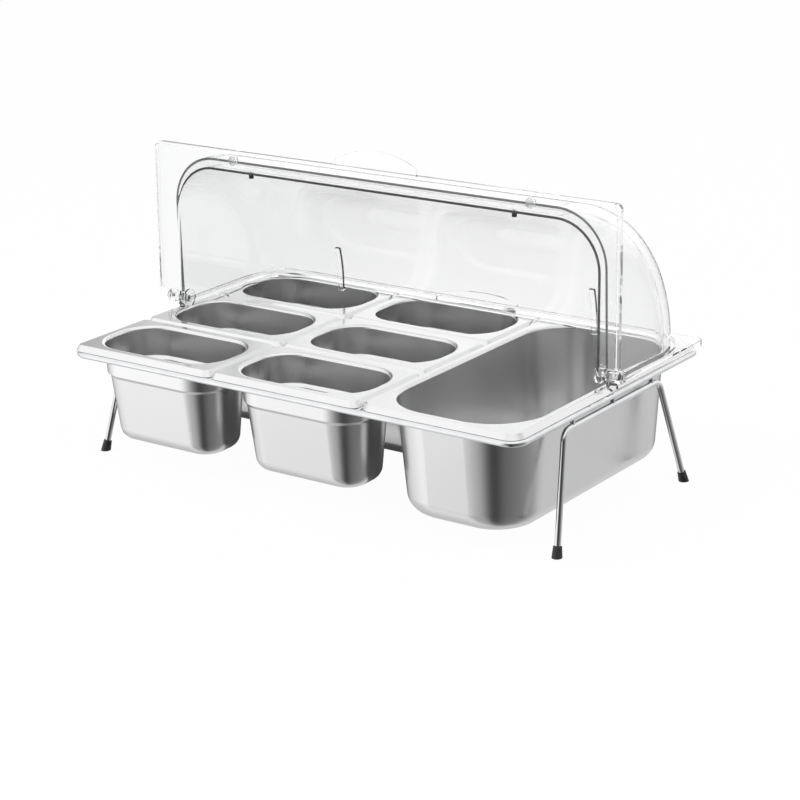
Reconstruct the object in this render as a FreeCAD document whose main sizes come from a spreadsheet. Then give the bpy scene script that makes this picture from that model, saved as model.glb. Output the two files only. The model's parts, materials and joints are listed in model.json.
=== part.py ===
import FreeCAD, Part
import math
import os
import Sketcher

# Roll-top serving set: a wire stand, six ninth-size pans, one third-size pan and a clear two-shell cover.
# Millimetres, +Z up, the floor at zero. X runs along the hinge, -Y is the side that opens.

# Driving dimensions
SIZES = {
    # Pan set
    "gn_length": 530,
    "gn_width": 325,
    "rim_gap": 1,
    "rim_height": 128,
    "rim_drop": 6,
    "rim_slope": 3.5,
    "sheet": 0.8,
    "rim_round": 1.2,
    "lip_radius": 3.5,
    "small_depth": 102,
    "small_rim_corner": 8,
    "small_margin": 12.6,
    "small_corner_share": 0.85,
    "neck_depth": 30.5,
    "neck_draft": 1,
    "shoulder_inset": 3,
    "shoulder_drop": 3,
    "shoulder_round": 1.5,
    "small_draft": 7.6,
    "small_base_radius": 14,
    "large_depth": 111,
    "large_rim_corner": 15,
    "large_margin": 11.5,
    "large_corner_share": 0.71,
    "large_draft": 9,
    "large_base_radius": 20,
    # Stand
    "wire": 6,
    "cross_wire": 5,
    "ring_corner": 15,
    "seat_gap": 0.3,
    "weld_gap": 3,
    "weld_diameter": 4.5,
    "weld_spacing": 70,
    "rail_half": 84,
    "leg_bend": 12,
    "foot_splay": 10.9,
    "leg_spread": 31,
    "cap_base_radius": 5.2,
    "cap_top_radius": 4.1,
    "cap_height": 10.5,
    "cap_sole": 3,
    # Cover shells
    "hinge_rise": 10,
    "shell_wall": 2.5,
    "shell_gap": 2.5,
    "crown_gap": 7,
    "lid_inset_x": 12.5,
    "lid_inset_y": 20,
    "lid_corner": 46,
    "lean_share": 0.74646,
    "flange": 2.5,
    "flange_corner": 6,
    "flange_end_round": 3,
    "cover_end_gap": 1,
    "lid_end_gap": 8.5,
    "lid_overhang": 12.5,
    "lip_wall": 2.2,
    "lip_gap": 1,
    "lid_lip_depth": 5,
    "cover_lip_depth": 4,
    "mouth_round": 1.8,
    "bead_width": 5,
    "bead_height": 3,
    # Hinges
    "ear_clearance": 0.7,
    "pin_diameter": 5,
    "running_fit": 0.05,
    "head_radius": 9,
    "head_thickness": 2.5,
    "hinge_neck_radius": 4.2,
    "hinge_neck_length": 7,
    "hinge_cap_radius": 6.5,
    "hinge_cap_length": 10,
    "hinge_cap_bevel": 1.8,
    # Handles, stops, pegs and bumpers
    "tongue_half": 49,
    "tongue_side": 6,
    "tongue_peak": 28,
    "tongue_corner": 4,
    "tongue_crown_radius": 105,
    "tongue_tilt_angle": 12,
    "rib_place": 158,
    "rib_width": 6,
    "rib_height": 3,
    "rib_angle": 16,
    "rib_peg": 4,
    "peg_head_diameter": 5,
    "peg_head_length": 4,
    "peg_shank_diameter": 3,
    "bumper_place": 178,
    "bumper_inset": 11,
    "bumper_diameter": 10,
    "bumper_proud": 0.15,
    "bumper_crown": 1.5,
    # How far every cut runs past what it cuts
    "overrun": 2,
}

# Sizes and places that follow from the driving dimensions
DERIVED = {
    "pitch_x": "sizes.gn_length / 3",
    "pitch_y": "sizes.gn_width / 3",
    "edge_x": "(sizes.gn_length - sizes.rim_gap) / 2",
    "edge_y": "(sizes.gn_width - sizes.rim_gap) / 2",
    "small_half_x": "(derived.pitch_x - sizes.rim_gap) / 2",
    "small_half_y": "(derived.pitch_y - sizes.rim_gap) / 2",
    "small_opening_corner": "sizes.small_corner_share * (derived.small_half_y - sizes.small_margin)",
    "large_opening_corner": "sizes.large_corner_share * (derived.small_half_x - sizes.large_margin)",
    "ring_x": "derived.edge_x - sizes.sheet / 2",
    "ring_y": "derived.edge_y - sizes.sheet / 2",
    "wire_radius": "sizes.wire / 2",
    "ring_crown": "sizes.rim_height - sizes.rim_drop - sizes.seat_gap",
    "ring_level": "derived.ring_crown - derived.wire_radius",
    "rail_level": "derived.ring_level - sizes.wire - sizes.weld_gap",
    "foot_reach_y": "sizes.rail_half + sizes.leg_spread",
    "splay_angle": "atan(sizes.foot_splay / derived.rail_level)",
    "leg_drop": "derived.rail_level / cos(derived.splay_angle)",
    "leg_angle": "atan(sizes.leg_spread / derived.leg_drop)",
    "hinge_level": "sizes.rim_height + sizes.hinge_rise",
    "lid_half_width": "derived.edge_x - sizes.lid_inset_x",
    "lid_radius": "derived.edge_y - sizes.lid_inset_y",
    "lid_flange_half": "derived.edge_x + sizes.lid_overhang",
    "cover_half_width": "derived.lid_half_width + sizes.shell_wall + sizes.shell_gap",
    "cover_radius": "derived.lid_radius + sizes.shell_wall + sizes.crown_gap",
    "cover_corner": "sizes.lid_corner + sizes.shell_wall + sizes.shell_gap",
    "flange_under": "sizes.hinge_rise - sizes.seat_gap",
    "flange_over": "derived.flange_under - sizes.flange",
    "flange_reach": "derived.edge_y + sizes.lip_gap + sizes.lip_wall",
    "cover_flange_half": "derived.edge_x + sizes.lip_gap + sizes.lip_wall",
    "ear_radius": "derived.flange_over - sizes.ear_clearance",
    "lean_angle": "asin(sizes.lean_share * derived.flange_over / (derived.cover_radius + sizes.shell_wall))",
    "open_angle": "90 deg + derived.lean_angle",
    "lid_drop": "(derived.lid_radius + sizes.shell_wall) * sin(derived.lean_angle)",
    "lid_overlap": "(derived.flange_under - derived.lid_drop) / cos(derived.lean_angle)",
    "tongue_slope_angle": "atan((sizes.tongue_peak - sizes.tongue_side) / sizes.tongue_half)",
    "tongue_crop": "sizes.tongue_crown_radius * (1 / cos(derived.tongue_slope_angle) - 1)",
    "tongue_crest": "sizes.tongue_peak - derived.tongue_crop",
    "rear_reach": "derived.flange_reach + derived.tongue_crest * cos(sizes.tongue_tilt_angle)",
    "centre_offset": "(derived.rear_reach - derived.ring_y - derived.wire_radius) / 2",
}

doc = FreeCAD.newDocument("serving_set")
sheet = doc.addObject("Spreadsheet::Sheet", "sizes")
for row, (alias, number) in enumerate(SIZES.items(), start=1):
    sheet.set(f"A{row}", alias)
    sheet.set(f"B{row}", str(number))
    sheet.setAlias(f"B{row}", alias)
doc.recompute()

derived = doc.addObject("App::VarSet", "derived")
for name, formula in DERIVED.items():
    kind = "App::PropertyAngle" if name.endswith("_angle") else "App::PropertyFloat"
    derived.addProperty(kind, name, "Derived", "")
    derived.setExpression(name, formula)
    doc.recompute()

SUBPARTS = []
X_AXIS = FreeCAD.Vector(1, 0, 0)
Y_AXIS = FreeCAD.Vector(0, 1, 0)
Z_AXIS = FreeCAD.Vector(0, 0, 1)


def value(formula):
    result = derived.evalExpression(formula)
    return float(getattr(result, "Value", result))


def bind(item, formulas):
    for path, formula in formulas.items():
        item.setExpression(path, formula)


def keep(item, label, x="0", y="0", z="0", turn_axis=None, turn="0"):
    """Name a finished sub-part and put it in its place in the set."""
    item.Label = label
    if turn_axis:
        rotation = FreeCAD.Rotation(turn_axis, value(turn))
        item.Placement = FreeCAD.Placement(FreeCAD.Vector(), rotation)
        bind(item, {"Placement.Rotation.Angle": turn})
    bind(item, {
        "Placement.Base.x": x,
        "Placement.Base.y": f"{y} - derived.centre_offset",
        "Placement.Base.z": z,
    })
    SUBPARTS.append(item)
    return item


# Sketches

def new_body(label):
    return doc.addObject("PartDesign::Body", label)


def sketch_on(body, plane_role, name, offset="0"):
    """A sketch on one of the body's own planes, moved along the plane's normal."""
    sketch = body.newObject("Sketcher::SketchObject", name)
    plane = next(item for item in body.Origin.OriginFeatures if item.Role == plane_role)
    sketch.AttachmentSupport = [(plane, "")]
    sketch.MapMode = "FlatFace"
    bind(sketch, {"AttachmentOffset.Base.z": offset})
    return sketch


def tilt(sketch, axis, angle):
    """Turn a sketch on its plane about one of the plane's own directions."""
    sketch.AttachmentOffset = FreeCAD.Placement(FreeCAD.Vector(), FreeCAD.Rotation(axis, value(angle)))
    bind(sketch, {"AttachmentOffset.Rotation.Angle": angle})


def dimension(sketch, kind, references, formula, name):
    index = sketch.addConstraint(Sketcher.Constraint(kind, *references, value(formula)))
    sketch.renameConstraint(index, name)
    bind(sketch, {f"Constraints.{name}": formula})


def pin_down(sketch, geometry, vertex, x, y, name):
    """Hold one point of the sketch at formulas x and y."""
    for kind, axis, formula in (("DistanceX", -2, x), ("DistanceY", -1, y)):
        if formula == "0":
            sketch.addConstraint(Sketcher.Constraint("PointOnObject", geometry, vertex, axis))
        else:
            dimension(sketch, kind, (-1, 1, geometry, vertex), formula, f"{name}_{kind[-1].lower()}")


def draw_outline(sketch, corners):
    """A closed outline through corners (x, y) or, where it is rounded, (x, y, radius)."""
    count = len(corners)
    points = [FreeCAD.Vector(value(corner[0]), value(corner[1]), 0) for corner in corners]
    radii = [value(corner[2]) if len(corner) == 3 else 0 for corner in corners]
    entries, exits, turns = [], [], []
    for i, point in enumerate(points):
        back = (points[i - 1] - point).normalize()
        ahead = (points[(i + 1) % count] - point).normalize()
        reach = radii[i] / math.tan(back.getAngle(ahead) / 2) if radii[i] else 0
        entries.append(point + back * reach)
        exits.append(point + ahead * reach)
        turns.append(ahead.cross(back).z)
    lines = []
    for i in range(count):
        lines.append(sketch.addGeometry(Part.LineSegment(exits[i], entries[(i + 1) % count])))
    for i, corner in enumerate(corners):
        before, after = lines[i - 1], lines[i]
        if not radii[i]:
            sketch.addConstraint(Sketcher.Constraint("Coincident", before, 2, after, 1))
            pin_down(sketch, after, 1, corner[0], corner[1], f"corner_{i}")
            continue
        middle = (entries[i] + exits[i]) / 2
        inward = (middle - points[i]).normalize()
        centre = points[i] + inward * math.hypot(radii[i], (entries[i] - points[i]).Length)
        left_turn = turns[i] > 0
        first, last = (entries[i], exits[i]) if left_turn else (exits[i], entries[i])
        start = math.atan2(first.y - centre.y, first.x - centre.x)
        end = math.atan2(last.y - centre.y, last.x - centre.x)
        circle = Part.Circle(centre, FreeCAD.Vector(0, 0, 1), radii[i])
        arc = sketch.addGeometry(Part.ArcOfCircle(circle, start, end if end > start else end + 2 * math.pi))
        entry_end, exit_end = (1, 2) if left_turn else (2, 1)
        sketch.addConstraint(Sketcher.Constraint("Tangent", before, 2, arc, entry_end))
        sketch.addConstraint(Sketcher.Constraint("Tangent", arc, exit_end, after, 1))
        dimension(sketch, "Radius", (arc,), corner[2], f"round_{i}")
        sharp = sketch.addGeometry(Part.Point(points[i]), True)
        sketch.addConstraint(Sketcher.Constraint("PointOnObject", sharp, 1, before))
        sketch.addConstraint(Sketcher.Constraint("PointOnObject", sharp, 1, after))
        pin_down(sketch, sharp, 1, corner[0], corner[1], f"corner_{i}")
    return sketch


def draw_circle(sketch, x, y, radius):
    centre = FreeCAD.Vector(value(x), value(y), 0)
    circle = sketch.addGeometry(Part.Circle(centre, FreeCAD.Vector(0, 0, 1), value(radius)))
    number = sketch.GeometryCount
    dimension(sketch, "Radius", (circle,), radius, f"radius_{number}")
    pin_down(sketch, circle, 3, x, y, f"centre_{number}")
    return sketch


def rounded_box(half_x, half_y, radius):
    return [
        (f"-({half_x})", f"-({half_y})", radius),
        (half_x, f"-({half_y})", radius),
        (half_x, half_y, radius),
        (f"-({half_x})", half_y, radius),
    ]


# Features

def pad(body, sketch, length, reversed_side=False):
    feature = body.newObject("PartDesign::Pad", "Pad")
    feature.Profile = sketch
    feature.Reversed = reversed_side
    bind(feature, {"Length": length})
    return feature


def pocket_through(body, sketch):
    feature = body.newObject("PartDesign::Pocket", "Pocket")
    feature.Profile = sketch
    feature.Type = "ThroughAll"
    feature.Midplane = True
    return feature


def pocket(body, sketch, depth):
    feature = body.newObject("PartDesign::Pocket", "Pocket")
    feature.Profile = sketch
    bind(feature, {"Length": depth})
    return feature


def revolve(body, sketch, axis, angle="360", reversed_side=False):
    feature = body.newObject("PartDesign::Revolution", "Revolution")
    feature.Profile = sketch
    feature.ReferenceAxis = (sketch, [axis])
    feature.Reversed = reversed_side
    bind(feature, {"Angle": angle})
    return feature


def loft(body, sketches, subtractive=False):
    kind = "Subtractive" if subtractive else "Additive"
    feature = body.newObject(f"PartDesign::{kind}Loft", "Loft")
    feature.Profile = sketches[0]
    feature.Sections = sketches[1:]
    feature.Ruled = True
    return feature


def pipe(body, profile, path):
    feature = body.newObject("PartDesign::AdditivePipe", "Pipe")
    feature.Profile = profile
    feature.Spine = path
    return feature


def round_level(body, level, radius, opening=None, outside=False):
    """Fillet the edges at one level: all of them, those round an opening or those outside it."""
    doc.recompute()
    base = body.Tip
    height = value(level)
    near = 1e-4
    names = []
    for i, edge in enumerate(base.Shape.Edges, start=1):
        box = edge.BoundBox
        if abs(box.ZMin - height) > near or abs(box.ZMax - height) > near:
            continue
        if opening:
            reach_x = max(abs(box.XMin), abs(box.XMax))
            reach_y = max(abs(box.YMin), abs(box.YMax))
            inside = reach_x < value(opening[0]) + near and reach_y < value(opening[1]) + near
            if inside == outside:
                continue
        names.append(f"Edge{i}")
    feature = body.newObject("PartDesign::Fillet", "Fillet")
    feature.Base = (base, names)
    bind(feature, {"Radius": radius})
    return feature


# Part workbench pieces

def cylinder(radius, height, x="0", y="0", z="0", turn_axis=None, turn=0):
    item = doc.addObject("Part::Cylinder", "Cylinder")
    if turn_axis:
        item.Placement = FreeCAD.Placement(FreeCAD.Vector(), FreeCAD.Rotation(turn_axis, turn))
    bind(item, {
        "Radius": radius,
        "Height": height,
        "Placement.Base.x": x,
        "Placement.Base.y": y,
        "Placement.Base.z": z,
    })
    return item


def cut(base, tool):
    item = doc.addObject("Part::Cut", "Cut")
    item.Base = base
    item.Tool = tool
    return item


def group(items):
    item = doc.addObject("Part::MultiFuse", "Group")
    item.Shapes = items
    return item


# Pans

def build_pan(label, kind, half_x, half_y, centre_x, centre_y):
    """A drawn steel pan: sloped rim, opening with a rounded lip, drafted walls and a rounded base."""
    body = new_body(label)
    corner = f"sizes.{kind}_rim_corner"
    margin = f"sizes.{kind}_margin"
    opening = f"derived.{kind}_opening_corner"

    def section(level, inset, box_x=half_x, box_y=half_y, radius=corner):
        sketch = sketch_on(body, "XY_Plane", "Section", level)
        return draw_outline(sketch, rounded_box(f"{box_x} - ({inset})", f"{box_y} - ({inset})",
                                                f"{radius} - ({inset})"))

    under_sheet = "sizes.rim_slope * (1 - sizes.sheet / sizes.rim_drop) + sizes.sheet"
    loft(body, [section("0", "sizes.rim_slope"), section("-sizes.rim_drop", "0")])
    loft(body, [section("-sizes.sheet", under_sheet), section("-sizes.rim_drop", "sizes.sheet")], True)

    # Wall sections from the opening down to the base, as (level, inset)
    steps = [("0", "0")]
    full_draft = f"sizes.{kind}_draft"
    if kind == "small":
        shoulder = "sizes.neck_draft + sizes.shoulder_inset"
        steps.append(("-sizes.neck_depth", "sizes.neck_draft"))
        steps.append(("-sizes.neck_depth - sizes.shoulder_drop", shoulder))
        full_draft = f"{shoulder} + {full_draft}"
    opening_x = f"{half_x} - {margin}"
    opening_y = f"{half_y} - {margin}"

    def wall(skin, lowest, subtractive):
        sketches = []
        for level, inset in steps + [(lowest, full_draft)]:
            sketches.append(section(level, f"{inset} - {skin}", opening_x, opening_y, opening))
        loft(body, sketches, subtractive)

    base_level = f"-sizes.{kind}_depth"
    base_radius = f"sizes.{kind}_base_radius"
    wall("sizes.sheet", base_level, False)
    wall("0", f"{base_level} + sizes.sheet", True)
    round_level(body, f"{base_level} + sizes.sheet", f"{base_radius} - sizes.sheet")
    round_level(body, base_level, base_radius)
    neck_outside = (f"{opening_x} + sizes.sheet", f"{opening_y} + sizes.sheet")
    round_level(body, "-sizes.sheet", "sizes.lip_radius - sizes.sheet", neck_outside)
    round_level(body, "0", "sizes.rim_round", (opening_x, opening_y), True)
    round_level(body, "0", "sizes.lip_radius", (opening_x, opening_y))
    if kind == "small":
        round_level(body, steps[1][0], "sizes.shoulder_round")
        round_level(body, steps[2][0], "sizes.shoulder_round")
    return keep(body, label, centre_x, centre_y, "sizes.rim_height")


COLUMNS = {"left": "-derived.pitch_x", "centre": "0"}
ROWS = {"front": "-derived.pitch_y", "middle": "0", "rear": "derived.pitch_y"}
for row_name, row_place in ROWS.items():
    for column_name, column_place in COLUMNS.items():
        build_pan(f"small_pan_{row_name}_{column_name}", "small", "derived.small_half_x",
                  "derived.small_half_y", column_place, row_place)
build_pan("large_pan", "large", "derived.small_half_x", "derived.edge_y", "derived.pitch_x", "0")


# Stand

def build_ring():
    """The top ring, one bent wire under the outer rims."""
    body = new_body("top_ring")
    path = sketch_on(body, "XY_Plane", "Path")
    draw_outline(path, rounded_box("derived.ring_x", "derived.ring_y", "sizes.ring_corner"))
    profile = sketch_on(body, "YZ_Plane", "Profile", "-derived.ring_x + sizes.ring_corner")
    draw_circle(profile, "-derived.ring_y", "0", "derived.wire_radius")
    pipe(body, profile, path)
    keep(body, "top_ring", z="derived.ring_level")


def build_cross_wire(label, x):
    """A straight wire between the pan columns, its ends shaped to the ring."""
    span = "2 * derived.ring_y"
    item = cylinder("sizes.cross_wire / 2", span, y="derived.ring_y", turn_axis=X_AXIS, turn=90)
    ring_drop = "derived.ring_level - derived.ring_crown + sizes.cross_wire / 2"
    for side in ("", "-"):
        half = "sizes.cross_wire + sizes.overrun"
        tool = cylinder("derived.wire_radius", f"2 * ({half})", x=f"-({half})", y=f"{side}derived.ring_y",
                        z=ring_drop, turn_axis=Y_AXIS, turn=90)
        item = cut(item, tool)
    keep(item, label, x=x, z="derived.ring_crown - sizes.cross_wire / 2")


def build_leg_frame(label, side):
    """One end frame: a rail under the ring and two splayed legs, bent from one wire."""
    body = new_body(label)
    path = sketch_on(body, "YZ_Plane", "Path")
    foot_y = "derived.foot_reach_y - sizes.cap_sole * tan(derived.leg_angle)"
    foot_z = "-derived.leg_drop + sizes.cap_sole"
    points = [(f"-({foot_y})", foot_z), ("-sizes.rail_half", "0"), ("sizes.rail_half", "0"), (foot_y, foot_z)]
    draw_bent_wire(path, points, "sizes.leg_bend")
    profile = sketch_on(body, "XY_Plane", "Profile")
    draw_circle(profile, "0", "0", "derived.wire_radius")
    tilt(profile, X_AXIS, "-derived.leg_angle")
    bind(profile, {"AttachmentOffset.Base.y": f"-({foot_y})", "AttachmentOffset.Base.z": foot_z})
    pipe(body, profile, path)
    keep(body, label, x=f"{side}derived.ring_x", z="derived.rail_level", turn_axis=Y_AXIS * -1,
         turn=f"{side}derived.splay_angle")


def draw_bent_wire(sketch, points, bend):
    """An open path through points, with every inner corner bent to one radius."""
    vectors = [FreeCAD.Vector(value(y), value(z), 0) for y, z in points]
    radius = value(bend)
    last = len(points) - 1
    entries, exits = list(vectors), list(vectors)
    for i in range(1, last):
        back = (vectors[i - 1] - vectors[i]).normalize()
        ahead = (vectors[i + 1] - vectors[i]).normalize()
        reach = radius / math.tan(back.getAngle(ahead) / 2)
        entries[i] = vectors[i] + back * reach
        exits[i] = vectors[i] + ahead * reach
    lines = [sketch.addGeometry(Part.LineSegment(exits[i], entries[i + 1])) for i in range(last)]
    pin_down(sketch, lines[0], 1, *points[0], "start")
    pin_down(sketch, lines[-1], 2, *points[last], "finish")
    for i in range(1, last):
        middle = (entries[i] + exits[i]) / 2
        inward = (middle - vectors[i]).normalize()
        centre = vectors[i] + inward * math.hypot(radius, (entries[i] - vectors[i]).Length)
        start = math.atan2(exits[i].y - centre.y, exits[i].x - centre.x)
        end = math.atan2(entries[i].y - centre.y, entries[i].x - centre.x)
        circle = Part.Circle(centre, FreeCAD.Vector(0, 0, 1), radius)
        arc = sketch.addGeometry(Part.ArcOfCircle(circle, start, end if end > start else end + 2 * math.pi))
        sketch.addConstraint(Sketcher.Constraint("Tangent", lines[i - 1], 2, arc, 2))
        sketch.addConstraint(Sketcher.Constraint("Tangent", arc, 1, lines[i], 1))
        dimension(sketch, "Radius", (arc,), bend, f"bend_{i}")
        sharp = sketch.addGeometry(Part.Point(vectors[i]), True)
        sketch.addConstraint(Sketcher.Constraint("PointOnObject", sharp, 1, lines[i - 1]))
        sketch.addConstraint(Sketcher.Constraint("PointOnObject", sharp, 1, lines[i]))
        pin_down(sketch, sharp, 1, *points[i], f"bend_place_{i}")


def build_weld_pegs(label, side):
    """Three short pegs between the ring and the rail, shaped to both wires."""
    height = "sizes.wire + sizes.weld_gap"
    pegs = [cylinder("sizes.weld_diameter / 2", height, y=place)
            for place in ("-sizes.weld_spacing", "0", "sizes.weld_spacing")]
    item = group(pegs)
    run = "sizes.weld_spacing + sizes.weld_diameter + sizes.overrun"
    for level in ("0", height):
        tool = cylinder("derived.wire_radius", f"2 * ({run})", y=run, z=level, turn_axis=X_AXIS, turn=90)
        item = cut(item, tool)
    keep(item, label, x=f"{side}derived.ring_x", z="derived.rail_level")


def build_foot(label, side, end):
    """A rubber cap on the leg's end, with a blind bore, cut flat where it stands."""
    body = new_body(label)
    profile = sketch_on(body, "YZ_Plane", "Profile")
    tilt(profile, Z_AXIS, f"{end}derived.leg_angle")
    bind(profile, {
        "AttachmentOffset.Base.x": f"{end}derived.foot_reach_y",
        "AttachmentOffset.Base.y": "-derived.leg_drop",
    })
    bore = "derived.wire_radius + sizes.running_fit"
    sole = "sizes.cap_sole / cos(derived.leg_angle)"
    draw_outline(profile, [
        ("0", "-sizes.overrun"),
        ("sizes.cap_base_radius", "-sizes.overrun"),
        ("sizes.cap_top_radius", "sizes.cap_height"),
        (bore, "sizes.cap_height"),
        (bore, sole),
        ("0", sole),
    ])
    revolve(body, profile, "V_Axis")
    floor = sketch_on(body, "XY_Plane", "Floor")
    tilt(floor, Y_AXIS, f"{side}derived.splay_angle")
    bind(floor, {
        "AttachmentOffset.Base.x": f"-({side}derived.rail_level) * sin(derived.splay_angle)",
        "AttachmentOffset.Base.y": f"{end}derived.foot_reach_y",
        "AttachmentOffset.Base.z": "-derived.rail_level * cos(derived.splay_angle)",
    })
    reach = "2 * sizes.cap_base_radius + sizes.foot_splay"
    draw_outline(floor, [(f"-({reach})", f"-({reach})"), (reach, f"-({reach})"), (reach, reach),
                         (f"-({reach})", reach)])
    pocket(body, floor, "sizes.cap_base_radius + 2 * sizes.overrun")
    keep(body, label, x=f"{side}derived.ring_x", z="derived.rail_level", turn_axis=Y_AXIS * -1,
         turn=f"{side}derived.splay_angle")


SIDES = {"left": "-", "right": ""}
ENDS = {"front": "-", "rear": ""}
build_ring()
for side_name, side_sign in SIDES.items():
    build_cross_wire(f"cross_wire_{side_name}", f"{side_sign}derived.pitch_x / 2")
    build_leg_frame(f"leg_frame_{side_name}", side_sign)
    build_weld_pegs(f"weld_pegs_{side_name}", side_sign)
    for end_name, end_sign in ENDS.items():
        build_foot(f"foot_{end_name}_{side_name}", side_sign, end_sign)


# Cover shells. Each is drawn closed, with the hinge axis through its own origin.

def band(sign, inner_half, inner_reach, outer_half, outer_reach, inner_round, outer_round, start="0",
         end_round="0"):
    """A U-shaped band, open at the hinge, as corners of an outline."""
    return [
        (f"-({outer_half})", start, end_round),
        (f"-({outer_half})", f"{sign}({outer_reach})", outer_round),
        (outer_half, f"{sign}({outer_reach})", outer_round),
        (outer_half, start, end_round),
        (inner_half, start),
        (inner_half, f"{sign}({inner_reach})", inner_round),
        (f"-({inner_half})", f"{sign}({inner_reach})", inner_round),
        (f"-({inner_half})", start),
    ]


def build_shell(body, sign, half, radius, corner, flange_half, lip_depth, end_gap):
    """A quarter-round shell with flat ends, a skirt, a lipped flange and hinge ears."""
    outer_half = f"{half} + sizes.shell_wall"
    outer_radius = f"{radius} + sizes.shell_wall"
    outer_corner = f"{corner} + sizes.shell_wall"
    to_front = sign == "-"
    arch = sketch_on(body, "XZ_Plane", "Arch")
    draw_outline(arch, band("", half, radius, outer_half, outer_radius, corner, outer_corner))
    revolve(body, arch, "H_Axis", "90", not to_front)
    skirt = sketch_on(body, "XY_Plane", "Skirt")
    draw_outline(skirt, band(sign, half, radius, outer_half, outer_radius, corner, outer_corner))
    pad(body, skirt, "derived.flange_under", True)

    plate = sketch_on(body, "XY_Plane", "Flange", "-derived.flange_under")
    draw_outline(plate, band(sign, half, radius, flange_half, "derived.flange_reach", corner,
                             "sizes.flange_corner", f"{sign}{end_gap}", "sizes.flange_end_round"))
    pad(body, plate, "sizes.flange")
    lip = sketch_on(body, "XY_Plane", "Lip", "-derived.flange_over")
    draw_outline(lip, band(sign, f"{flange_half} - sizes.lip_wall", "derived.flange_reach - sizes.lip_wall",
                           flange_half, "derived.flange_reach", "sizes.flange_corner - sizes.lip_wall",
                           "sizes.flange_corner", f"{sign}({end_gap} + sizes.flange_end_round)"))
    pad(body, lip, f"{lip_depth} + sizes.flange", True)
    for side in ("", "-"):
        ear = sketch_on(body, "YZ_Plane", "Ear", f"{side}({half})")
        draw_circle(ear, "0", "0", "derived.ear_radius")
        pad(body, ear, "sizes.shell_wall", side == "-")
    build_tongue(body, sign)


def drill_hinge(body):
    """The pin's bore through both ears."""
    bore = sketch_on(body, "YZ_Plane", "Bore")
    draw_circle(bore, "0", "0", "sizes.pin_diameter / 2 + sizes.running_fit")
    pocket_through(body, bore)


def build_tongue(body, sign):
    """The finger tongue at the middle of the flange, tilted up."""
    sketch = sketch_on(body, "XY_Plane", "Tongue")
    tilt(sketch, X_AXIS, f"{sign}sizes.tongue_tilt_angle")
    bind(sketch, {
        "AttachmentOffset.Base.y": f"{sign}derived.flange_reach",
        "AttachmentOffset.Base.z": "-derived.flange_under",
    })
    root = f"-({sign}sizes.lip_wall) / 2"
    draw_outline(sketch, [
        ("-sizes.tongue_half", root),
        ("-sizes.tongue_half", f"{sign}sizes.tongue_side", "sizes.tongue_corner"),
        ("0", f"{sign}sizes.tongue_peak", "sizes.tongue_crown_radius"),
        ("sizes.tongue_half", f"{sign}sizes.tongue_side", "sizes.tongue_corner"),
        ("sizes.tongue_half", root),
    ])
    pad(body, sketch, "sizes.flange")


def build_rear_cover():
    """The shell that stays on the pans, with a bead round its foot."""
    body = new_body("rear_cover")
    outer_half = "derived.cover_half_width + sizes.shell_wall"
    outer_radius = "derived.cover_radius + sizes.shell_wall"
    outer_corner = "derived.cover_corner + sizes.shell_wall"
    build_shell(body, "", "derived.cover_half_width", "derived.cover_radius", "derived.cover_corner",
                "derived.cover_flange_half", "sizes.cover_lip_depth", "sizes.cover_end_gap")
    bead = sketch_on(body, "XY_Plane", "Bead", "-derived.flange_over")
    draw_outline(bead, band("", outer_half, outer_radius, f"{outer_half} + sizes.bead_width",
                            f"{outer_radius} + sizes.bead_width", outer_corner,
                            f"{outer_corner} + sizes.bead_width",
                            "sizes.hinge_cap_radius + sizes.ear_clearance"))
    pad(body, bead, "sizes.bead_height")
    drill_hinge(body)
    keep(body, "rear_cover", z="derived.hinge_level")


PEG_LEVEL = "-derived.flange_over + sizes.peg_head_diameter / 2"


def build_front_cover():
    """The shell that swings up inside the rear one, with stop ribs and holes for pegs and bumpers."""
    body = new_body("front_cover")
    half = "derived.lid_half_width"
    radius = "derived.lid_radius"
    build_shell(body, "-", half, radius, "sizes.lid_corner", "derived.lid_flange_half", "sizes.lid_lip_depth",
                "sizes.lid_end_gap")
    round_level(body, "-derived.flange_under", "sizes.mouth_round", (half, radius))
    overlap = sketch_on(body, "XZ_Plane", "Overlap")
    draw_outline(overlap, band("", half, radius, f"{half} + sizes.shell_wall", f"{radius} + sizes.shell_wall",
                               "sizes.lid_corner", "sizes.lid_corner + sizes.shell_wall"))
    pad(body, overlap, "derived.lid_overlap", True)
    for side in ("", "-"):
        near = f"{side}sizes.rib_place - sizes.rib_width / 2"
        far = f"{side}sizes.rib_place + sizes.rib_width / 2"
        low = f"{radius} - sizes.rib_height"
        high = f"{radius} + sizes.shell_wall / 2"
        rib_corners = [(near, low), (far, low), (far, high), (near, high)]
        rib = draw_outline(sketch_on(body, "XZ_Plane", "Rib"), rib_corners)
        revolve(body, rib, "H_Axis", "sizes.rib_angle", False)
        peg = draw_outline(sketch_on(body, "XZ_Plane", "Peg"), rib_corners)
        pad(body, peg, "derived.lid_overlap + sizes.rib_peg", True)
    peg_holes = sketch_on(body, "XZ_Plane", "PegHoles", f"{radius} + sizes.shell_wall")
    bumper_holes = sketch_on(body, "XY_Plane", "BumperHoles", "-derived.flange_over")
    for side in ("", "-"):
        draw_circle(peg_holes, f"{side}sizes.rib_place", PEG_LEVEL,
                    "sizes.peg_shank_diameter / 2 + sizes.running_fit")
        draw_circle(bumper_holes, f"{side}sizes.bumper_place", "-derived.flange_reach + sizes.bumper_inset",
                    "sizes.bumper_diameter / 2 + sizes.running_fit")
    pocket(body, peg_holes, "sizes.shell_wall + sizes.overrun")
    pocket(body, bumper_holes, "sizes.flange + sizes.overrun")
    drill_hinge(body)
    keep(body, "front_cover", z="derived.hinge_level", turn_axis=X_AXIS * -1, turn="derived.open_angle")


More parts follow.
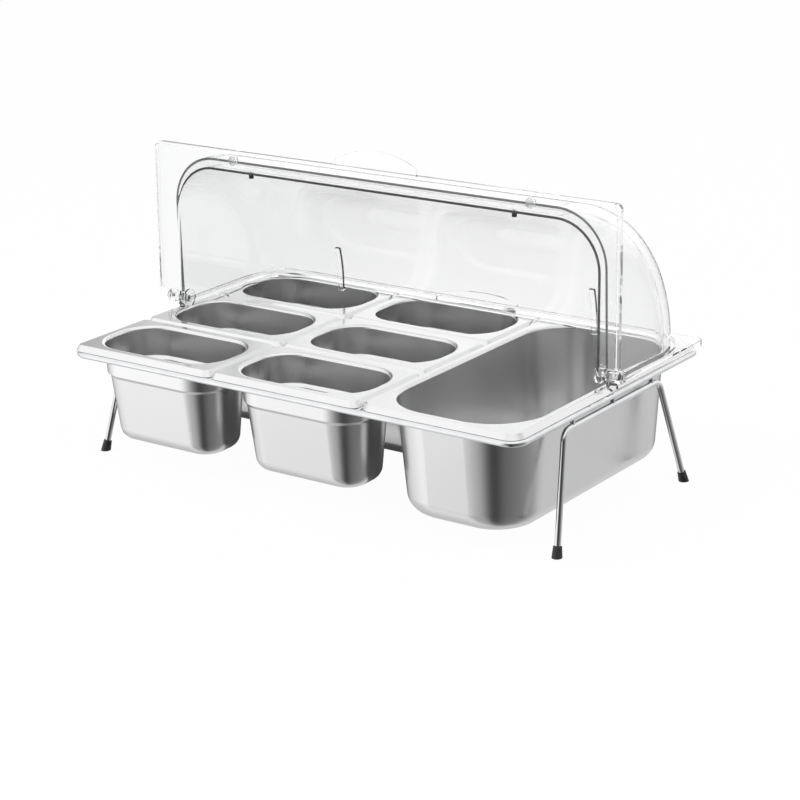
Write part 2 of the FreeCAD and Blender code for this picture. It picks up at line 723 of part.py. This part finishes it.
def build_pegs():
    """Two soft pegs in the shell's front wall, close to its mouth."""
    head = "sizes.peg_head_length"
    pieces = []
    for side in ("", "-"):
        place = {"x": f"{side}sizes.rib_place", "y": f"-derived.lid_radius + {head}", "z": PEG_LEVEL,
                 "turn_axis": X_AXIS, "turn": 90}
        pieces.append(cylinder("sizes.peg_head_diameter / 2", head, **place))
        pieces.append(cylinder("sizes.peg_shank_diameter / 2", f"{head} + sizes.shell_wall", **place))
    keep(group(pieces), "lid_pegs", z="derived.hinge_level", turn_axis=X_AXIS * -1, turn="derived.open_angle")


def build_bumpers():
    """Two round bumpers set through the flange, which land on the rims."""
    height = "sizes.flange + sizes.bumper_proud + sizes.bumper_crown"
    item = group([
        cylinder("sizes.bumper_diameter / 2", height, x=f"{side}sizes.bumper_place",
                 y="-derived.flange_reach + sizes.bumper_inset",
                 z="-derived.flange_under - sizes.bumper_proud")
        for side in ("", "-")])
    keep(item, "lid_bumpers", z="derived.hinge_level", turn_axis=X_AXIS * -1, turn="derived.open_angle")


def build_hinge(side_name, sign):
    """A headed pin through both end walls, and the necked knob that caps its outer end."""
    head_out = f"{sign}(derived.lid_half_width - sizes.seat_gap)"
    head_in = f"{sign}(derived.lid_half_width - sizes.seat_gap - sizes.head_thickness)"
    wall_out = "derived.cover_half_width + sizes.shell_wall"
    neck_out = f"{wall_out} + sizes.hinge_neck_length"
    bore_end = f"{sign}({neck_out} + sizes.hinge_cap_length / 2)"
    cap_in = f"{sign}({wall_out})"
    knob_in = f"{sign}({neck_out})"
    knob_out = f"{sign}({neck_out} + sizes.hinge_cap_length)"
    bevel_in = f"{sign}({neck_out} + sizes.hinge_cap_bevel)"
    bevel_out = f"{sign}({neck_out} + sizes.hinge_cap_length - sizes.hinge_cap_bevel)"
    bevel_radius = "sizes.hinge_cap_radius - sizes.hinge_cap_bevel"
    pin_radius = "sizes.pin_diameter / 2"
    bore = f"{pin_radius} + sizes.running_fit"
    pin = new_body(f"hinge_pin_{side_name}")
    profile = sketch_on(pin, "XZ_Plane", "Profile")
    draw_outline(profile, [
        (head_in, "0"), (bore_end, "0"), (bore_end, pin_radius), (head_out, pin_radius),
        (head_out, "sizes.head_radius"), (head_in, "sizes.head_radius"),
    ])
    revolve(pin, profile, "H_Axis")
    keep(pin, f"hinge_pin_{side_name}", z="derived.hinge_level")
    cap = new_body(f"hinge_cap_{side_name}")
    profile = sketch_on(cap, "XZ_Plane", "Profile")
    draw_outline(profile, [
        (bore_end, "0"), (knob_out, "0"), (knob_out, bevel_radius), (bevel_out, "sizes.hinge_cap_radius"),
        (bevel_in, "sizes.hinge_cap_radius"), (knob_in, bevel_radius), (knob_in, "sizes.hinge_neck_radius"),
        (cap_in, "sizes.hinge_neck_radius"), (cap_in, bore), (bore_end, bore),
    ])
    revolve(cap, profile, "H_Axis")
    keep(cap, f"hinge_cap_{side_name}", z="derived.hinge_level")


build_rear_cover()
build_front_cover()
build_pegs()
build_bumpers()
for side_name, side_sign in SIDES.items():
    build_hinge(side_name, side_sign)

# Recompute, check and write
doc.recompute()
for item in doc.Objects:
    faults = [word for word in item.State if word in ("Invalid", "Error")]
    if faults:
        raise RuntimeError(f"{item.Label} is {faults}: {item.getStatusString()}")
for item in SUBPARTS:
    if item.Shape.isNull() or not item.Shape.isValid() or not item.Shape.Solids:
        raise RuntimeError(f"{item.Label} has no valid solid")

os.makedirs("parts", exist_ok=True)
for item in SUBPARTS:
    item.Shape.exportStep(f"parts/{item.Label}.step")
    box = item.Shape.optimalBoundingBox()
    spans = [(box.XMin, box.XMax), (box.YMin, box.YMax), (box.ZMin, box.ZMax)]
    places = "  ".join(f"{low:8.2f} {high:8.2f}" for low, high in spans)
    print(f"{item.Label:26s} solids {len(item.Shape.Solids)}  volume {item.Shape.Volume:10.1f}  {places}")
print("centre offset", derived.centre_offset)
print("open angle", derived.open_angle, "overlap", derived.lid_overlap)
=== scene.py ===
import json
import math

import bpy
from mathutils import Matrix, Vector


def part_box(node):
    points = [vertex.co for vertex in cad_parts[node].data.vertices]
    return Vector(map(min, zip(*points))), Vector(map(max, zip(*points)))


# Roll-top serving set: steel pans on a chromed wire stand under a clear two-shell cover.
# Metres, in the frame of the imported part: X along the hinge, -Y towards the opening side, Z up.

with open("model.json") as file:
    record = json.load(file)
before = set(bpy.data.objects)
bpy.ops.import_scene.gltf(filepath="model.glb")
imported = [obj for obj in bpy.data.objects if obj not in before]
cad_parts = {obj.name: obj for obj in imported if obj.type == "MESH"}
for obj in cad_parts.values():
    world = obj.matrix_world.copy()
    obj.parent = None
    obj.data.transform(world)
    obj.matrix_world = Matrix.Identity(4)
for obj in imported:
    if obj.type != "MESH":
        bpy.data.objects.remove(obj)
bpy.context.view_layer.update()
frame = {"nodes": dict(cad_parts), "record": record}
nodes = frame["nodes"]

# The camera, fitted to the rims of the pans
IMAGE_SIZE = 800
FOCAL_PIXELS = 2386.75
SENSOR_WIDTH = 36.0
CAMERA_AZIMUTH = math.radians(36.56)
CAMERA_ELEVATION = math.radians(18.64)
CAMERA_ROLL = math.radians(-1.81)
CAMERA_DISTANCE = 2.36148
CAMERA_TARGET = Vector((0.01913, 0.0, 0.07197))
CAMERA_CLIP_END = 50

# What glossy surfaces see of the studio: (degrees from the opening side towards +X, brightness)
# Low down: a bright sweep at the front left, a dark gap at the front right, a pale wall behind
LOW_SWEEP = [(-180, 0.62), (-110, 0.5), (-62, 0.62), (-50, 0.92), (-44, 0.92), (-38, 0.5),
             (-30, 0.3), (-12, 0.4), (0, 0.4), (12, 0.1), (24, 0.01), (34, 0.04), (48, 0.14),
             (80, 0.18), (118, 0.25), (142, 0.53), (180, 0.62)]
# Below eye level: a brighter front left, and a dark end of the room at the back left
MIDDLE_SWEEP = [(-180, 0.4), (-160, 0.05), (-126, 0.05), (-105, 0.5), (-60, 1.1), (-32, 1.1),
                (0, 0.2), (25, 0.03), (60, 0.1), (105, 0.25), (140, 0.58), (165, 0.56), (180, 0.4)]
# Above eye level: a white wall with a dark panel at the back left and a dark gap at the front right
HIGH_SWEEP = [(-180, 1.0), (-141, 1.0), (-137, 0.55), (-132, 0.1), (-115, 0.3), (-95, 0.75),
              (-45, 1.0), (-25, 0.95), (0, 0.15), (25, 0.03), (60, 0.08), (105, 0.3), (135, 0.85),
              (180, 1.0)]
CEILING = 0.92
# Where the levels blend, as heights of the direction: low to middle, middle to high, high to ceiling
MIDDLE_BLEND = (-0.47, -0.39)
EYE_BLEND = (-0.2, 0.0)
CEILING_BLEND = (0.35, 0.65)
# How bright the studio is in reflections, and the plain grey that lights everything else
STUDIO_LEVEL = 1.3
LIGHT_LEVEL = 0.45

# The floor, and how much of what the eye sees of it is plain white
FLOOR_REACH = 6.0
FLOOR_WHITE_SHARE = 0.975
# The dark sheet of painted shade under the set: how far it stays inside the ring, at its low and high X
# and Y edges, and its height
SHADE_CARD_LOW = (0.035, 0.08)
SHADE_CARD_HIGH = (0.05, 0.11)
SHADE_CARD_LEVEL = 0.001
# Its faint painted glow, standing in for the dim light of the shaded floor
SHADE_CARD_GLOW = 0.06
MATTE = 0.9
WHITE = (1, 1, 1, 1)

# Soft boxes: name, place, width, height, watts
LAMPS = [
    ("key_lamp", (-1.0, -1.4, 2.3), 1.6, 1.6, 40),
    ("rim_lamp", (0.4, 2.2, 1.6), 2.2, 1.2, 8),
    ("fill_lamp", (1.8, -0.4, 1.8), 1.2, 1.2, 12),
]

# Where most of a noise pattern lies
PATTERN_LOW = 0.3
PATTERN_HIGH = 0.7
# The pans' walls and rims, told apart by the height of the surface's normal
WALL_ROUGHNESS = 0.27
RIM_ROUGHNESS = 0.12
WALL_TO_RIM = (0.25, 0.5)
# Painted shade: the clear sheet is greyer at its -X end, and clears over this stretch of X
PAINTED_SHADE_GREY = (0.955, 0.957, 0.96, 1)
PAINTED_SHADE_TO_CLEAR = (-0.26, -0.06)


class Nodes:
    """A short way to write a node tree."""

    def __init__(self, tree):
        self.tree = tree

    def add(self, kind, inputs=None, **settings):
        node = self.tree.nodes.new(kind)
        for key, setting in settings.items():
            setattr(node, key, setting)
        for key, source in (inputs or {}).items():
            self.feed(node.inputs[key], source)
        return node

    def feed(self, socket, source):
        if isinstance(source, bpy.types.NodeSocket):
            self.tree.links.new(source, socket)
        else:
            socket.default_value = source

    def math(self, operation, first, second):
        return self.add("ShaderNodeMath", {0: first, 1: second}, operation=operation).outputs[0]

    def noise(self, scale, detail=3.0, stretch=(1, 1, 1)):
        """A 0 to 1 pattern in object coordinates, in features per metre."""
        place = self.add("ShaderNodeTexCoord").outputs["Object"]
        place = self.add("ShaderNodeMapping", {"Vector": place, "Scale": stretch}).outputs["Vector"]
        inputs = {"Vector": place, "Scale": scale, "Detail": detail}
        return self.add("ShaderNodeTexNoise", inputs).outputs["Fac"]

    def span(self, source, low, high, start=PATTERN_LOW, end=PATTERN_HIGH):
        """Spread the part of a pattern from start to end over the values low to high."""
        inputs = {"Value": source, "From Min": start, "From Max": end, "To Min": low, "To Max": high}
        return self.add("ShaderNodeMapRange", inputs).outputs["Result"]

    def ramp(self, source, stops):
        """A colour from (position, colour) stops."""
        node = self.add("ShaderNodeValToRGB", {"Fac": source})
        elements = node.color_ramp.elements
        elements.remove(elements[1])
        elements[0].position = stops[0][0]
        elements[0].color = (*stops[0][1], 1)
        for position, colour in stops[1:]:
            elements.new(position).color = (*colour, 1)
        return node.outputs["Color"]

    def mix(self, share, first, second):
        """A colour from first to second by share."""
        inputs = {"Fac": share, "Color1": first, "Color2": second}
        return self.add("ShaderNodeMixRGB", inputs).outputs["Color"]

    def blend(self, source, dark, light):
        """A colour between two colours, by a pattern."""
        return self.ramp(source, [(PATTERN_LOW, dark), (PATTERN_HIGH, light)])

    def bump(self, source, strength, distance):
        inputs = {"Height": source, "Strength": strength, "Distance": distance}
        return self.add("ShaderNodeBump", inputs).outputs["Normal"]


class Material(Nodes):
    """A material whose surface is one principled shader."""

    def __init__(self, name):
        self.data = bpy.data.materials.new(name)
        self.data.use_nodes = True
        super().__init__(self.data.node_tree)
        self.shader = self.tree.nodes["Principled BSDF"]

    def set(self, **inputs):
        for key, source in inputs.items():
            self.feed(self.shader.inputs[key.replace("_", " ")], source)


# Materials

def make_pan_steel():
    """Satin stainless: fine polishing lines, a faint cloud of wear, rims brighter than walls."""
    m = Material("pan_steel")
    lines = m.noise(scale=1400.0, detail=2.0, stretch=(1, 1, 0.05))
    cloud = m.noise(scale=9.0)
    m.set(Metallic=1.0)
    m.set(Base_Color=m.blend(cloud, dark=(0.725, 0.725, 0.728), light=(0.755, 0.755, 0.757)))
    facing = m.add("ShaderNodeTexCoord").outputs["Normal"]
    upward = m.add("ShaderNodeSeparateXYZ", {0: facing}).outputs["Z"]
    polish = m.span(upward, WALL_ROUGHNESS, RIM_ROUGHNESS, *WALL_TO_RIM)
    polish = m.math("ADD", polish, m.span(cloud, low=0.0, high=0.02))
    m.set(Roughness=m.math("ADD", m.span(lines, low=0.0, high=0.015), polish))
    m.set(Normal=m.bump(lines, strength=0.003, distance=0.0001))
    return m.data


def make_chrome_wire():
    """Bright plating over drawn wire."""
    m = Material("chrome_wire")
    cloud = m.noise(scale=60.0)
    m.set(Metallic=1.0)
    m.set(Base_Color=m.blend(cloud, dark=(0.66, 0.67, 0.68), light=(0.74, 0.745, 0.75)))
    m.set(Roughness=m.span(cloud, low=0.07, high=0.13))
    m.set(Normal=m.bump(cloud, strength=0.03, distance=0.0003))
    return m.data


def make_clear_cover():
    """Clear moulded sheet, with a faint haze, painted shade greying one end, and a flow ripple."""
    m = Material("clear_cover")
    haze = m.noise(scale=6.0)
    place = m.add("ShaderNodeTexCoord").outputs["Object"]
    across = m.add("ShaderNodeSeparateXYZ", {0: place}).outputs["X"]
    clear = m.blend(haze, dark=(0.992, 0.993, 0.994), light=(0.998, 0.999, 0.999))
    # Painted shade: the base colour greys towards the -X end
    m.set(Base_Color=m.mix(m.span(across, 0.0, 1.0, *PAINTED_SHADE_TO_CLEAR), PAINTED_SHADE_GREY, clear))
    m.set(Transmission_Weight=0.975, IOR=1.28)
    m.set(Roughness=m.span(haze, low=0.01, high=0.035))
    m.set(Normal=m.bump(haze, strength=0.03, distance=0.002))
    return m.data


def make_clear_bumper():
    """Soft clear elastomer."""
    m = Material("clear_bumper")
    haze = m.noise(scale=220.0)
    m.set(Base_Color=m.blend(haze, dark=(0.80, 0.81, 0.82), light=(0.88, 0.89, 0.90)))
    m.set(Transmission_Weight=0.75, IOR=1.45)
    m.set(Roughness=m.span(haze, low=0.18, high=0.32))
    m.set(Normal=m.bump(haze, strength=0.1, distance=0.0003))
    return m.data


def make_black_rubber():
    """Moulded black rubber with a fine grain and scuffs."""
    m = Material("black_rubber")
    grain = m.noise(scale=1800.0, detail=2.0)
    scuff = m.noise(scale=90.0, detail=4.0)
    m.set(Base_Color=m.blend(scuff, dark=(0.012, 0.012, 0.014), light=(0.035, 0.035, 0.038)))
    m.set(Roughness=m.span(scuff, low=0.42, high=0.62))
    m.set(Normal=m.bump(grain, strength=0.15, distance=0.0003))
    return m.data


materials = {
    "pan_steel": make_pan_steel(),
    "chrome_wire": make_chrome_wire(),
    "clear_cover": make_clear_cover(),
    "clear_bumper": make_clear_bumper(),
    "black_rubber": make_black_rubber(),
}
for subpart in frame["record"]["subparts"]:
    piece = nodes[subpart["node"]]
    piece.data.materials.clear()
    piece.data.materials.append(materials[subpart["material_slot"]])
    if subpart["material_slot"] == "clear_cover":
        piece.visible_shadow = False


# Studio

def make_plane(name, low, high, level=0.0):
    mesh = bpy.data.meshes.new(name)
    outline = [(low[0], low[1]), (high[0], low[1]), (high[0], high[1]), (low[0], high[1])]
    mesh.from_pydata([(x, y, level) for x, y in outline], [], [(0, 1, 2, 3)])
    plane = bpy.data.objects.new(name, mesh)
    bpy.context.collection.objects.link(plane)
    return plane


def make_floor():
    """A pale floor that shows white to the eye, and keeps a soft shadow."""
    floor = make_plane("floor", (-FLOOR_REACH, -FLOOR_REACH), (FLOOR_REACH, FLOOR_REACH))
    floor.visible_glossy = False
    m = Material("floor")
    m.set(Base_Color=m.blend(m.noise(scale=40.0), dark=(0.9, 0.9, 0.9), light=(0.94, 0.94, 0.94)))
    m.set(Roughness=MATTE)
    paths = m.add("ShaderNodeLightPath").outputs
    seen = m.math("MAXIMUM", paths["Is Camera Ray"], paths["Is Glossy Ray"])
    seen = m.math("MAXIMUM", seen, paths["Is Transmission Ray"])
    white = m.add("ShaderNodeEmission", {"Color": WHITE, "Strength": 1.0}).outputs[0]
    share = m.math("MULTIPLY", seen, FLOOR_WHITE_SHARE)
    mix = m.add("ShaderNodeMixShader", {"Fac": share, 1: m.shader.outputs[0], 2: white})
    m.feed(m.tree.nodes["Material Output"].inputs["Surface"], mix.outputs[0])
    floor.data.materials.append(m.data)


def make_shade_card():
    """A dark sheet on the floor under the set, painted shade standing in for the shaded floor between the
    pans, with a faint painted glow. Only reflections show it.
    """
    low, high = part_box("top_ring")
    shade_card = make_plane("shade_card", (low[0] + SHADE_CARD_LOW[0], low[1] + SHADE_CARD_LOW[1]),
                      (high[0] - SHADE_CARD_HIGH[0], high[1] - SHADE_CARD_HIGH[1]), SHADE_CARD_LEVEL)
    shade_card.visible_camera = False
    shade_card.visible_diffuse = False
    shade_card.visible_shadow = False
    shade_card.visible_transmission = False
    m = Material("shade_card")
    # Painted shade: near black, with a faint painted glow
    m.set(Base_Color=(0.05, 0.05, 0.05, 1), Roughness=MATTE)
    m.set(Emission_Color=WHITE, Emission_Strength=SHADE_CARD_GLOW)
    shade_card.data.materials.append(m.data)


def make_world():
    """White to the eye and through the clear shells, a studio in reflections, a plain grey as light."""
    world = bpy.data.worlds.new("studio")
    bpy.context.scene.world = world
    world.use_nodes = True
    w = Nodes(world.node_tree)
    place = w.add("ShaderNodeTexCoord").outputs["Generated"]
    direction = w.add("ShaderNodeSeparateXYZ", {0: place}).outputs
    compass = w.math("ARCTAN2", direction["X"], w.math("MULTIPLY", direction["Y"], -1.0))
    turn = w.span(compass, 0.0, 1.0, -math.pi, math.pi)

    def sweep(stops):
        return w.ramp(turn, [((angle + 180) / 360, (level, level, level)) for angle, level in stops])

    def rise(blend, below, over):
        share = w.span(direction["Z"], 0.0, 1.0, *blend)
        return w.mix(share, below, over)

    studio = rise(MIDDLE_BLEND, sweep(LOW_SWEEP), sweep(MIDDLE_SWEEP))
    studio = rise(EYE_BLEND, studio, sweep(HIGH_SWEEP))
    studio = rise(CEILING_BLEND, studio, (CEILING, CEILING, CEILING, 1))
    paths = w.add("ShaderNodeLightPath").outputs
    colour = w.mix(paths["Is Glossy Ray"], WHITE, studio)
    seen = w.math("MAXIMUM", paths["Is Camera Ray"], paths["Is Transmission Ray"])
    strength = w.span(seen, LIGHT_LEVEL, 1.0, 0.0, 1.0)
    reflected = w.math("MULTIPLY", paths["Is Glossy Ray"], STUDIO_LEVEL)
    strength = w.math("MAXIMUM", strength, reflected)
    background = w.tree.nodes["Background"]
    w.feed(background.inputs["Color"], colour)
    w.feed(background.inputs["Strength"], strength)


def make_lamp(name, place, width, height, energy):
    """A soft box aimed at the set, which reflections don't show."""
    light = bpy.data.lights.new(name, "AREA")
    light.shape = "RECTANGLE"
    light.size = width
    light.size_y = height
    light.energy = energy
    lamp = bpy.data.objects.new(name, light)
    lamp.location = place
    lamp.rotation_euler = (CAMERA_TARGET - Vector(place)).to_track_quat("-Z", "Y").to_euler()
    lamp.visible_camera = False
    lamp.visible_transmission = False
    lamp.visible_glossy = False
    bpy.context.collection.objects.link(lamp)


def make_camera():
    """The photographed view: a long lens from the front right, slightly rolled."""
    azimuth, elevation = CAMERA_AZIMUTH, CAMERA_ELEVATION
    back = Vector((math.sin(azimuth) * math.cos(elevation), -math.cos(azimuth) * math.cos(elevation),
                   math.sin(elevation)))
    right = Vector((math.cos(azimuth), math.sin(azimuth), 0))
    up = back.cross(right)
    c, s = math.cos(CAMERA_ROLL), math.sin(CAMERA_ROLL)
    right, up = right * c + up * s, up * c - right * s
    ring_low, ring_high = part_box("top_ring")
    target = CAMERA_TARGET + Vector((0, (ring_low[1] + ring_high[1]) / 2, 0))
    data = bpy.data.cameras.new("camera")
    data.sensor_width = SENSOR_WIDTH
    data.lens = FOCAL_PIXELS / IMAGE_SIZE * SENSOR_WIDTH
    data.clip_end = CAMERA_CLIP_END
    camera = bpy.data.objects.new("camera", data)
    turn = Matrix((right, up, back)).transposed()
    camera.matrix_world = Matrix.Translation(target + back * CAMERA_DISTANCE) @ turn.to_4x4()
    bpy.context.collection.objects.link(camera)
    bpy.context.scene.camera = camera


make_floor()
make_shade_card()
make_world()
for lamp_row in LAMPS:
    make_lamp(*lamp_row)
make_camera()
bpy.context.scene.view_settings.view_transform = "Standard"
